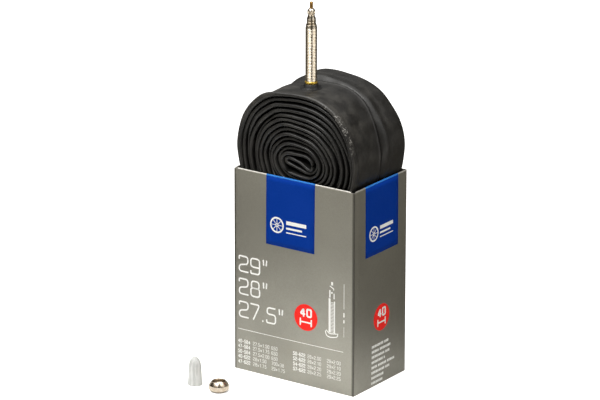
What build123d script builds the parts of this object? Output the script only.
from build123d import *

import math
import os

# A bicycle inner tube with a Presta valve, wound up and standing half out of its
# open retail carton. Its dust cap and rim nut lie on the floor in front.
# Millimetres. The origin is the centre of the carton's base. +Z is up, -Y is the
# carton's printed front and +X is to the right of somebody who faces that front.

# ---- driving dimensions ----

# carton
CARTON_W = 75.0
CARTON_D = 48.0
CARTON_H = 110.0
BOARD = 0.5
GAP = 0.03
CREASE_R = 0.9
TUCK = 14.0
TUCK_CORNER_R = 5.0
DUST_FLAP_TOP = 35.0
DUST_FLAP_BOTTOM = 31.0
DUST_FLAP_TAPER = 4.0
GLUE_TAB = 12.0

# wound tube: the strip is the flattened tube, seen edge on in the XZ plane
ROLL_Z = 119.0
ROLL_DEPTH = 45.2
STRIP_T = 1.9
TURNS_TOP = 13
OUTER_R = 34.9
FIRST_TOP = 4.7
FIRST_BOTTOM = 7.1
FIRST_LEFT = 9.2
FIRST_RIGHT = 10.4
OUTER_FOLD_X = 4.0

# valve, set out from the lower end of its visible metal
VALVE_X = -2.1
VALVE_Y = -5.5
VALVE_Z = 156.5
PAD_TOP_R = 3.65
PAD_BOTTOM_R = 4.6
PAD_LIP = 0.7
PAD_SINK = 0.5
FOOT_R = 4.5
FOOT_T = 0.7
FOOT_Z = 153.25
COLLAR_R = 3.2
COLLAR_H = 1.2
STEM_R = 3.0
STEM_H = 31.3
SPIGOT_R = 2.7
STEM_CHAMFER = 1.8
STEM_TIP_R = 2.78
STEM_BORE_R = 2.2
CORE_HOLE_R = 2.62
CORE_HOLE_DEPTH = 4.8

CORE_SCREW_R = 2.57
CORE_SCREW_L = 4.4
CORE_TOP_R = 2.4
CORE_TOP_L = 2.6
CORE_FLATS = 4.4
CORE_NECK_L = 2.0
CORE_NECK_R = 2.15
CORE_SEAT_R = 1.75
CORE_BARREL_R = 1.6
CORE_BARREL_L = 8.2
CORE_BORE_R = 0.98
GASKET_R = 2.15
GASKET_BORE_R = 1.5
GASKET_T = 1.8
GASKET_UP = 2.6
PIN_R = 0.88
PIN_SHAFT_R = 0.6
PIN_TOP = 43.0
PLUG_R = 1.35
PLUG_L = 2.5
CUP_R = 1.62
CUP_WALL = 0.24
CUP_L = 2.0
CUP_BASE = 0.6
RIVET_R = 1.0
RIVET_L = 0.6
LOCK_NUT_R = 2.05
LOCK_NUT_TIP_R = 1.35
LOCK_NUT_BORE_R = 0.93
LOCK_NUT_L = 3.5
LOCK_NUT_CONE_L = 1.0

# loose fittings on the floor
RIM_NUT_POS = (-24.2, -56.2)
RIM_NUT_R = 5.25
RIM_NUT_BASE_R = 4.2
RIM_NUT_TOP_R = 3.7
RIM_NUT_BORE_R = 3.05
RIM_NUT_H = 5.4
RIM_NUT_BAND = (1.3, 3.3)
KNURLS = 32
CAP_POS = (-39.9, -55.6)
CAP_BASE_R = 3.85
CAP_SHOULDER_R = 3.2
CAP_SHOULDER_Z = 10.5
CAP_H = 15.3
CAP_BORE_R = 2.5
CAP_BORE_L = 12.0
CAP_RIBS = 12

PARTS = "parts"


def save(shape, node):
    """Writes one sub-part under its node's name."""
    export_step(shape, f"{PARTS}/{node}.step")


def block(x0, x1, y0, y1, z0, z1):
    """A box between two corners."""
    centre = Pos((x0 + x1) / 2, (y0 + y1) / 2, (z0 + z1) / 2)
    return centre * Box(x1 - x0, y1 - y0, z1 - z0)


def turned(profile, x, y):
    """A solid of revolution about a vertical axis, from (radius, height) points."""
    face = make_face(Polyline(*[(r, 0, h) for r, h in profile], close=True))
    return Pos(x, y, 0) * revolve(face, Axis.Z)


def rod(r, z0, z1, x=VALVE_X, y=VALVE_Y):
    """An upright cylinder between two heights."""
    return Pos(x, y, z0) * Cylinder(r, z1 - z0, align=(Align.CENTER, Align.CENTER, Align.MIN))


# ---- carton ----

def carton_sleeve():
    """Four walls in one strip of board, with rounded creases at the corners.

    The front and side walls stop short of the top, where their flaps fold over.
    """
    fold = CARTON_H - BOARD
    outer = extrude(RectangleRounded(CARTON_W, CARTON_D, CREASE_R), CARTON_H)
    inside = RectangleRounded(CARTON_W - 2 * BOARD, CARTON_D - 2 * BOARD, CREASE_R - BOARD)
    walls = outer - extrude(inside, CARTON_H)
    back_edge = CARTON_D / 2 - BOARD - GAP
    return walls - block(-CARTON_W, CARTON_W, -CARTON_D, back_edge, fold, CARTON_H + 1)


def carton_glue_tab():
    """The strip glued inside the back wall, folded from the left wall."""
    x0 = -CARTON_W / 2 + CREASE_R + GAP
    y1 = CARTON_D / 2 - BOARD - GAP
    taper = 3.0
    outline = Polyline(
        (x0, taper), (x0 + GLUE_TAB, 2 * taper), (x0 + GLUE_TAB, CARTON_H - 2 * taper),
        (x0, CARTON_H - taper), close=True,
    )
    return Pos(0, y1, 0) * extrude(Plane.XZ * make_face(outline), BOARD)


def rounded_tongue(width, z_root, z_tip, corner_r):
    """A flat outline in XZ, square at its root and rounded at its free corners."""
    half = width / 2
    inwards = corner_r if z_tip > z_root else -corner_r
    points = [(-half, z_root), (-half, z_tip), (half, z_tip), (half, z_root)]
    lines = [
        Line(points[0], (-half, z_tip - inwards)),
        RadiusArc((-half, z_tip - inwards), (-half + corner_r, z_tip), math.copysign(corner_r, inwards)),
        Line((-half + corner_r, z_tip), (half - corner_r, z_tip)),
        RadiusArc((half - corner_r, z_tip), (half, z_tip - inwards), math.copysign(corner_r, inwards)),
        Line((half, z_tip - inwards), points[3]),
        Line(points[3], points[0]),
    ]
    return make_face(Wire(lines))


def top_closure_flap():
    """The long top flap and its tuck, folded down flat inside the front wall."""
    fold = CARTON_H - BOARD
    width = CARTON_W - 2 * BOARD - 4 * CREASE_R
    y_face = -CARTON_D / 2 + 2 * BOARD
    reach = CARTON_D - 2 * BOARD + TUCK
    sheet = Plane.XZ * rounded_tongue(width, fold, CARTON_H - reach, TUCK_CORNER_R)
    flap = Pos(0, y_face, 0) * extrude(sheet, BOARD - GAP)
    half_round = Rot(0, 90, 0) * Cylinder(BOARD, width)
    half_round -= block(-width, width, -2 * BOARD, 2 * BOARD, -2 * BOARD, 0)
    return flap + Pos(0, y_face - BOARD, fold) * half_round


def top_dust_flap(side):
    """A short side flap folded down inside its wall. side is -1 left, 1 right."""
    fold = CARTON_H - BOARD
    width = CARTON_D - 2 * BOARD - 3.0
    half = width / 2
    tip = CARTON_H - DUST_FLAP_TOP
    outline = Polyline(
        (-half, fold), (-half, tip + 2 * DUST_FLAP_TAPER), (-half + DUST_FLAP_TAPER, tip),
        (half - DUST_FLAP_TAPER, tip), (half, tip + 2 * DUST_FLAP_TAPER), (half, fold), close=True,
    )
    sheet = extrude(Plane.YZ * make_face(outline), BOARD - GAP)
    x_inner = CARTON_W / 2 - 2 * BOARD
    flap = Pos(x_inner, 0, 0) * sheet
    half_round = Rot(90, 0, 0) * Cylinder(BOARD, width)
    half_round -= block(-2 * BOARD, 2 * BOARD, -width, width, -2 * BOARD, 0)
    flap += Pos(x_inner + BOARD, 0, fold) * half_round
    return flap if side > 0 else mirror(flap, Plane.YZ)


def bottom_closure_flap():
    """The outer layer of the base, hinged at the back, tucked up inside the front."""
    half_w = CARTON_W / 2 - BOARD - GAP
    half_d = CARTON_D / 2 - BOARD - GAP
    panel = extrude(RectangleRounded(2 * half_w, 2 * half_d, CREASE_R - BOARD), BOARD)
    tongue = Plane.XZ * rounded_tongue(2 * half_w - 1.0, BOARD, BOARD + TUCK, TUCK_CORNER_R)
    return panel + Pos(0, -half_d + BOARD, 0) * extrude(tongue, BOARD)


def bottom_dust_flap(side):
    """The inner layer of the base on one side. side is -1 left, 1 right."""
    root = CARTON_W / 2 - BOARD - GAP
    tip = root - DUST_FLAP_BOTTOM
    front = -CARTON_D / 2 + 2 * BOARD + 2 * GAP
    back = CARTON_D / 2 - 2 * BOARD - 2 * GAP
    outline = Polyline(
        (root, front), (root, back), (tip + DUST_FLAP_TAPER, back), (tip, back - DUST_FLAP_TAPER),
        (tip, front + DUST_FLAP_TAPER), (tip + DUST_FLAP_TAPER, front), close=True,
    )
    flap = Pos(0, 0, BOARD + GAP) * extrude(make_face(outline), BOARD)
    return flap if side > 0 else mirror(flap, Plane.YZ)


# ---- wound tube ----

def arc(cx, cz, r, start, sweep):
    """One arc of the strip's centre line: centre, radius, start angle and sweep."""
    return ("arc", cx, cz, r, start, sweep)


def run(x0, z0, x1, z1):
    """One straight run of the strip's centre line."""
    return ("run", x0, z0, x1, z1)


def half_turn(x_from, x_to, height):
    """Anticlockwise half a turn between two crossings of the roll's mid-height.

    Going left it passes over the top, and going right it passes underneath.
    """
    way = 1 if x_from > x_to else -1
    start = 0 if way > 0 else 180
    first = arc(x_from - way * height, 0, height, start, 90)
    flat = run(x_from - way * height, way * height, x_to + way * height, way * height)
    last = arc(x_to + way * height, 0, height, start + 90, 90)
    if abs(x_from - x_to) - 2 * height < 1e-6:
        return [first, last]
    return [first, flat, last]


def backwards(pieces):
    """The same centre line, travelled the other way."""
    turned_round = []
    for piece in reversed(pieces):
        if piece[0] == "arc":
            _, cx, cz, r, start, sweep = piece
            turned_round.append(arc(cx, cz, r, start + sweep, -sweep))
        else:
            _, x0, z0, x1, z1 = piece
            turned_round.append(run(x1, z1, x0, z0))
    return turned_round


def rounded_route(points, radii):
    """Straight runs through the points, with a tangent arc at each inner point."""
    pieces = []
    here = Vector(*points[0])
    for before, corner, after, r in zip(points, points[1:], points[2:], radii):
        corner = Vector(*corner)
        way_in = (corner - Vector(*before)).normalized()
        way_out = (Vector(*after) - corner).normalized()
        turn = math.degrees(math.atan2(way_in.X * way_out.Y - way_in.Y * way_out.X, way_in.dot(way_out)))
        reach = r * math.tan(math.radians(abs(turn) / 2))
        arc_start = corner - way_in * reach
        arc_end = corner + way_out * reach
        side = math.copysign(1, turn)
        centre = arc_start + Vector(-way_in.Y, way_in.X) * (side * r)
        spoke = arc_start - centre
        pieces.append(run(here.X, here.Y, arc_start.X, arc_start.Y))
        start = math.degrees(math.atan2(spoke.Y, spoke.X))
        pieces.append(arc(centre.X, centre.Y, r, start, turn))
        here = arc_end
    last = Vector(*points[-1])
    pieces.append(run(here.X, here.Y, last.X, last.Y))
    return pieces


def strip_route():
    """The closed centre line of the flattened tube, about the roll's centre.

    The tube lies doubled. Both strands wind outwards anticlockwise, the even turns
    in one and the odd turns in the other. A loose fold joins them in the middle and
    a tight one at the outer end, which is hidden at the bottom.
    """
    last = TURNS_TOP - 1
    top = [FIRST_TOP + (OUTER_R - FIRST_TOP) * n / last for n in range(TURNS_TOP)]
    left = [-FIRST_LEFT - (OUTER_R - FIRST_LEFT) * n / last for n in range(TURNS_TOP)]
    right = [FIRST_RIGHT + (OUTER_R - FIRST_RIGHT) * n / last for n in range(TURNS_TOP)]
    bottom = [FIRST_BOTTOM + (OUTER_R - FIRST_BOTTOM) * n / last for n in range(TURNS_TOP)]

    def strand(first):
        pieces = []
        for n in range(first, TURNS_TOP, 2):
            pieces += half_turn(right[n], left[n], top[n])
            if n + 2 < TURNS_TOP:
                pieces += half_turn(left[n], right[n + 2], bottom[n])
        return pieces

    def tail(n):
        drop = bottom[n]
        centre = left[n] + drop
        return [arc(centre, 0, drop, 180, 90), run(centre, -drop, OUTER_FOLD_X, -drop)]

    fold_r = (bottom[last] - bottom[last - 1]) / 2
    outer_fold = arc(OUTER_FOLD_X, -bottom[last] + fold_r, fold_r, 270, 180)
    heart = rounded_route(
        [
            (right[1], 0), (right[1], -5.1), (6.0, -5.1), (-6.2, -1.25), (-6.2, 3.0),
            (1.5, 0.9), (right[0], -4.2), (right[0], 0),
        ],
        [5.0, 8.0, 1.9, 2.0, 9.0, 2.3],
    )
    outwards = strand(0) + tail(last)
    inwards = backwards(strand(1) + tail(last - 1))
    return outwards + [outer_fold] + inwards + heart


def offset_edges(pieces, d):
    """The edges at distance d to the left of a smooth centre line."""
    edges = []
    for piece in pieces:
        if piece[0] == "arc":
            _, cx, cz, r, start, sweep = piece
            edges.append(CenterArc((cx, cz), r - math.copysign(1, sweep) * d, start, sweep))
        else:
            _, x0, z0, x1, z1 = piece
            length = math.hypot(x1 - x0, z1 - z0)
            nx, nz = -(z1 - z0) / length * d, (x1 - x0) / length * d
            edges.append(Line((x0 + nx, z0 + nz), (x1 + nx, z1 + nz)))
    return edges


def route_length(pieces):
    """The length of a centre line."""
    total = 0.0
    for piece in pieces:
        if piece[0] == "arc":
            total += piece[3] * math.radians(abs(piece[5]))
        else:
            total += math.hypot(piece[3] - piece[1], piece[4] - piece[2])
    return total


def tube_roll():
    """The wound tube: a closed strip, with a pocket for the valve's foot."""
    route = strip_route()
    print("strip length, mm", round(route_length(route)))
    loops = [make_face(Wire(offset_edges(route, d))) for d in (STRIP_T / 2, -STRIP_T / 2)]
    loops.sort(key=lambda face: face.area)
    section = Plane.XZ * (loops[1] - loops[0])
    roll = Pos(0, ROLL_DEPTH / 2, ROLL_Z) * extrude(section, ROLL_DEPTH)
    roll -= rod(FOOT_R + GAP, FOOT_Z - GAP, FOOT_Z + FOOT_T + GAP)
    return roll - rod(COLLAR_R + GAP, FOOT_Z, VALVE_Z)


# ---- valve ----

def valve_pad():
    """The rubber cone that joins the tube to the valve."""
    base = ROLL_Z + OUTER_R + STRIP_T / 2 - PAD_SINK
    cone = turned(
        [(COLLAR_R + GAP, base), (PAD_BOTTOM_R, base), (PAD_BOTTOM_R, base + PAD_LIP),
         (PAD_TOP_R, VALVE_Z), (COLLAR_R + GAP, VALVE_Z)],
        VALVE_X, VALVE_Y,
    )
    tube = Pos(0, 0, ROLL_Z) * Rot(90, 0, 0) * Cylinder(OUTER_R + STRIP_T / 2 + GAP, ROLL_DEPTH)
    return cone - tube


def stem_foot():
    """The brass flange inside the tube and the bare collar above the rubber."""
    top = VALVE_Z + COLLAR_H
    hole = SPIGOT_R + GAP
    return turned(
        [(hole, FOOT_Z), (FOOT_R, FOOT_Z), (FOOT_R, FOOT_Z + FOOT_T), (COLLAR_R, FOOT_Z + FOOT_T),
         (COLLAR_R, top), (hole, top)],
        VALVE_X, VALVE_Y,
    )


def valve_stem():
    """The threaded stem. Its thread stays a plain cylinder of the major diameter."""
    shoulder = VALVE_Z + COLLAR_H
    top = VALVE_Z + STEM_H
    seat = top - CORE_HOLE_DEPTH
    return turned(
        [(STEM_BORE_R, FOOT_Z), (SPIGOT_R, FOOT_Z), (SPIGOT_R, shoulder), (STEM_R, shoulder),
         (STEM_R, top - STEM_CHAMFER), (STEM_TIP_R, top),
         (CORE_HOLE_R, top), (CORE_HOLE_R, seat), (STEM_BORE_R, seat - 0.5)],
        VALVE_X, VALVE_Y,
    )


def core_levels():
    """Heights on the core: barrel's lower end, screw's lower end, stem top, neck, seat."""
    stem_top = VALVE_Z + STEM_H
    screw = stem_top - CORE_SCREW_L
    neck = stem_top + CORE_TOP_L
    return screw - CORE_BARREL_L, screw, stem_top, neck, neck + CORE_NECK_L


def core_body():
    """The screwed core: barrel, hidden screw, outer thread with two flats, neck."""
    barrel, screw, stem_top, neck, seat = core_levels()
    groove = barrel + GASKET_UP
    groove_r = GASKET_BORE_R - 0.05
    body = turned(
        [(CORE_BORE_R, barrel), (CORE_BARREL_R, barrel), (CORE_BARREL_R, groove - GAP),
         (groove_r, groove - GAP), (groove_r, groove + GASKET_T + GAP),
         (CORE_BARREL_R, groove + GASKET_T + GAP), (CORE_BARREL_R, screw), (CORE_SCREW_R, screw),
         (CORE_SCREW_R, stem_top), (CORE_TOP_R, stem_top), (CORE_TOP_R, neck), (CORE_NECK_R, neck),
         (CORE_SEAT_R, seat), (CORE_BORE_R, seat)],
        VALVE_X, VALVE_Y,
    )
    for side in (-1, 1):
        flat = VALVE_X + side * (CORE_FLATS / 2 + STEM_R)
        body -= Pos(flat, VALVE_Y, stem_top + CORE_TOP_L / 2) * Box(2 * STEM_R, 2 * STEM_R, CORE_TOP_L)
    return body


def core_gasket():
    """The ring between the core's barrel and the stem's bore."""
    z0 = core_levels()[0] + GASKET_UP
    mid = z0 + GASKET_T / 2
    return turned(
        [(GASKET_BORE_R, z0), (GASKET_R - 0.25, z0), (GASKET_R, mid), (GASKET_R - 0.25, z0 + GASKET_T),
         (GASKET_BORE_R, z0 + GASKET_T)],
        VALVE_X, VALVE_Y,
    )


def core_pin():
    """The pin: rivet head, thin shaft through the core, and thread up to the tip."""
    barrel, _, _, neck, _ = core_levels()
    rivet = barrel - PLUG_L - CUP_BASE - RIVET_L
    tip = VALVE_Z + PIN_TOP
    return turned(
        [(0, rivet), (RIVET_R, rivet + 0.2), (RIVET_R, rivet + RIVET_L), (PIN_SHAFT_R, rivet + RIVET_L),
         (PIN_SHAFT_R, neck), (PIN_R, neck + 0.4), (PIN_R, tip - 0.35), (PIN_R - 0.35, tip), (0, tip)],
        VALVE_X, VALVE_Y,
    )


def core_plug():
    """The rubber plug that closes the core from below."""
    top = core_levels()[0]
    return turned(
        [(PIN_SHAFT_R + GAP, top - PLUG_L), (PLUG_R, top - PLUG_L), (PLUG_R, top - 0.5),
         (PLUG_R - 0.3, top - GAP), (PIN_SHAFT_R + GAP, top - GAP)],
        VALVE_X, VALVE_Y,
    )


def core_plug_cup():
    """The brass cup riveted under the plug."""
    floor = core_levels()[0] - PLUG_L
    low = floor - CUP_BASE
    rim = low + CUP_L
    return turned(
        [(PIN_SHAFT_R + GAP, low), (CUP_R, low), (CUP_R, rim), (CUP_R - CUP_WALL, rim),
         (CUP_R - CUP_WALL, floor), (PIN_SHAFT_R + GAP, floor)],
        VALVE_X, VALVE_Y,
    )


def core_lock_nut():
    """The small knurled nut on the pin, narrowed to its seat and coned at its top."""
    seat = core_levels()[4] + GAP
    top = seat + LOCK_NUT_L
    return turned(
        [(LOCK_NUT_BORE_R, seat), (CORE_SEAT_R - 0.05, seat), (CORE_SEAT_R, seat + 0.3),
         (LOCK_NUT_R, seat + 0.6), (LOCK_NUT_R, top - LOCK_NUT_CONE_L), (LOCK_NUT_TIP_R, top),
         (LOCK_NUT_BORE_R, top)],
        VALVE_X, VALVE_Y,
    )


# ---- loose fittings ----

def rim_nut():
    """The round knurled nut, chamfered above and below, with a through hole."""
    low, high = RIM_NUT_BAND
    nut = turned(
        [(RIM_NUT_BORE_R, 0), (RIM_NUT_BASE_R, 0), (RIM_NUT_R, low), (RIM_NUT_R, high),
         (RIM_NUT_TOP_R, RIM_NUT_H), (RIM_NUT_BORE_R, RIM_NUT_H)],
        0, 0,
    )
    for n in range(KNURLS):
        spot = Rot(0, 0, 360 * n / KNURLS) * Pos(RIM_NUT_R + 0.1, 0, (low + high) / 2)
        nut -= spot * Rot(0, 0, 45) * Box(0.4, 0.4, high - low - 0.2)
    return Pos(*RIM_NUT_POS, 0) * nut


def dust_cap():
    """The cap: a ribbed taper under a dome, with a blind bore open at the floor."""
    outline = [
        Line((CAP_BORE_R, 0), (CAP_BASE_R, 0)),
        Line((CAP_BASE_R, 0), (CAP_SHOULDER_R, CAP_SHOULDER_Z)),
        Spline(
            (CAP_SHOULDER_R, CAP_SHOULDER_Z), (CAP_SHOULDER_R * 0.72, CAP_H - 1.1), (0, CAP_H),
            tangents=[(CAP_SHOULDER_R - CAP_BASE_R, CAP_SHOULDER_Z), (-1, 0)],
        ),
        Line((0, CAP_H), (0, CAP_BORE_L + 1.0)),
        Line((0, CAP_BORE_L + 1.0), (CAP_BORE_R, CAP_BORE_L)),
        Line((CAP_BORE_R, CAP_BORE_L), (CAP_BORE_R, 0)),
    ]
    cap = revolve(Plane.XZ * make_face(Wire(outline)), Axis.Z)
    lean = math.degrees(math.atan((CAP_BASE_R - CAP_SHOULDER_R) / CAP_SHOULDER_Z))
    groove = Rot(0, -lean, 0) * Cylinder(0.45, CAP_SHOULDER_Z)
    middle = (CAP_BASE_R + CAP_SHOULDER_R) / 2 + 0.25
    for n in range(CAP_RIBS):
        cap -= Rot(0, 0, 360 * n / CAP_RIBS) * Pos(middle, 0, CAP_SHOULDER_Z / 2) * groove
    return Pos(*CAP_POS, 0) * cap


def main():
    os.makedirs(PARTS, exist_ok=True)
    save(carton_sleeve(), "carton_sleeve")
    save(carton_glue_tab(), "carton_glue_tab")
    save(top_closure_flap(), "top_closure_flap")
    save(bottom_closure_flap(), "bottom_closure_flap")
    for side, word in ((-1, "left"), (1, "right")):
        save(top_dust_flap(side), f"top_dust_flap_{word}")
        save(bottom_dust_flap(side), f"bottom_dust_flap_{word}")
    for make in (
        tube_roll, valve_pad, stem_foot, valve_stem, core_body, core_gasket, core_pin,
        core_plug, core_plug_cup, core_lock_nut, rim_nut, dust_cap,
    ):
        save(make(), make.__name__)


main()
